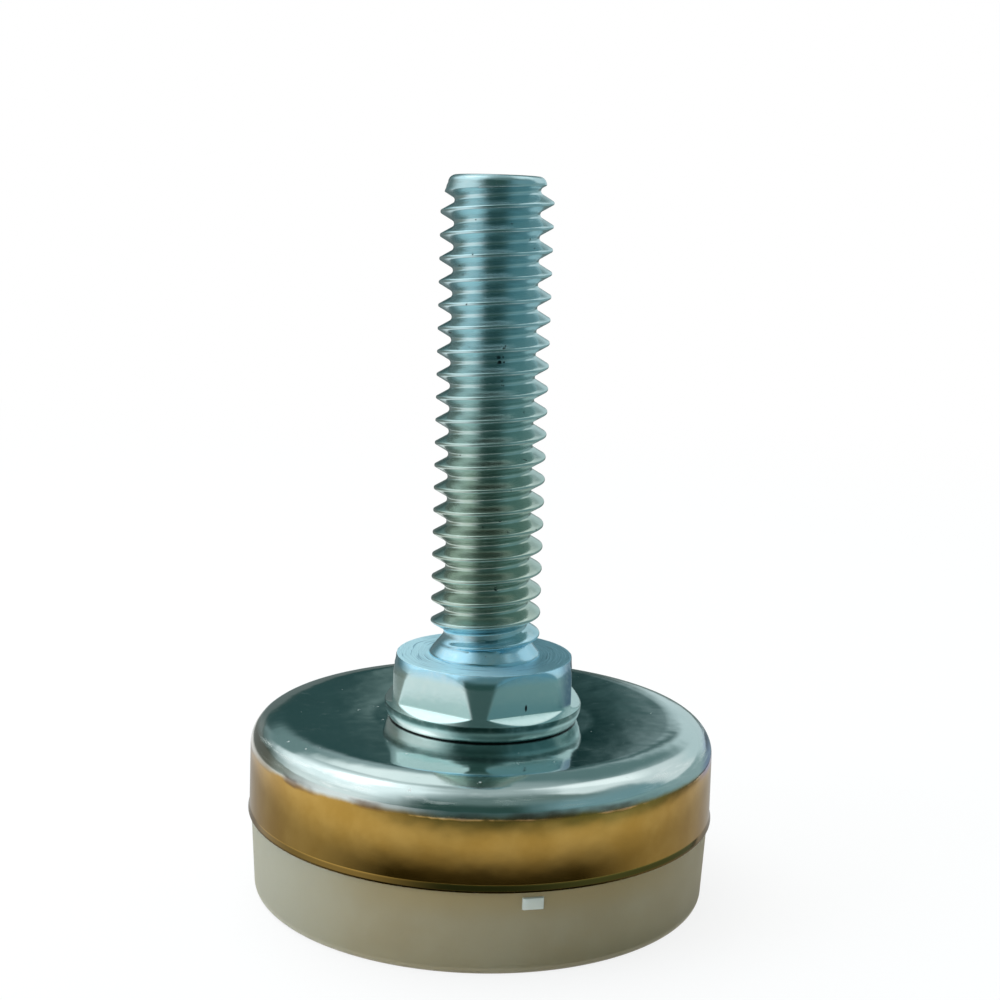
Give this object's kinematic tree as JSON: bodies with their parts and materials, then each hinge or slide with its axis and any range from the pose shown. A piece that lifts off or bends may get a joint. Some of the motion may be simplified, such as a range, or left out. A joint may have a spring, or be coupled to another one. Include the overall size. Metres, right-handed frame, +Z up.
{
  "type": "leveling glide",
  "caption": "Leveling glide: a threaded stud with a hexagon collar, staked into a plated steel cap that is pressed over a round nylon pad.",
  "frame": {"origin": "middle of the pad's underside, on the floor", "axes": "+Z up along the stud; +X to the right and -Y towards the viewer of the picture"},
  "size_m": [0.0266, 0.0266, 0.0402],
  "materials": {
    "plated_steel": "bright zinc plating with a pale blue passivation, gloss",
    "plated_cap": "bright zinc plating, grey on top and yellowish down the side, polished",
    "nylon": "natural off-white nylon, satin"
  },
  "bodies": {
    "root": {"threaded_stud": "plated_steel", "steel_cap": "plated_cap", "nylon_pad": "nylon"}
  },
  "joints": []
}
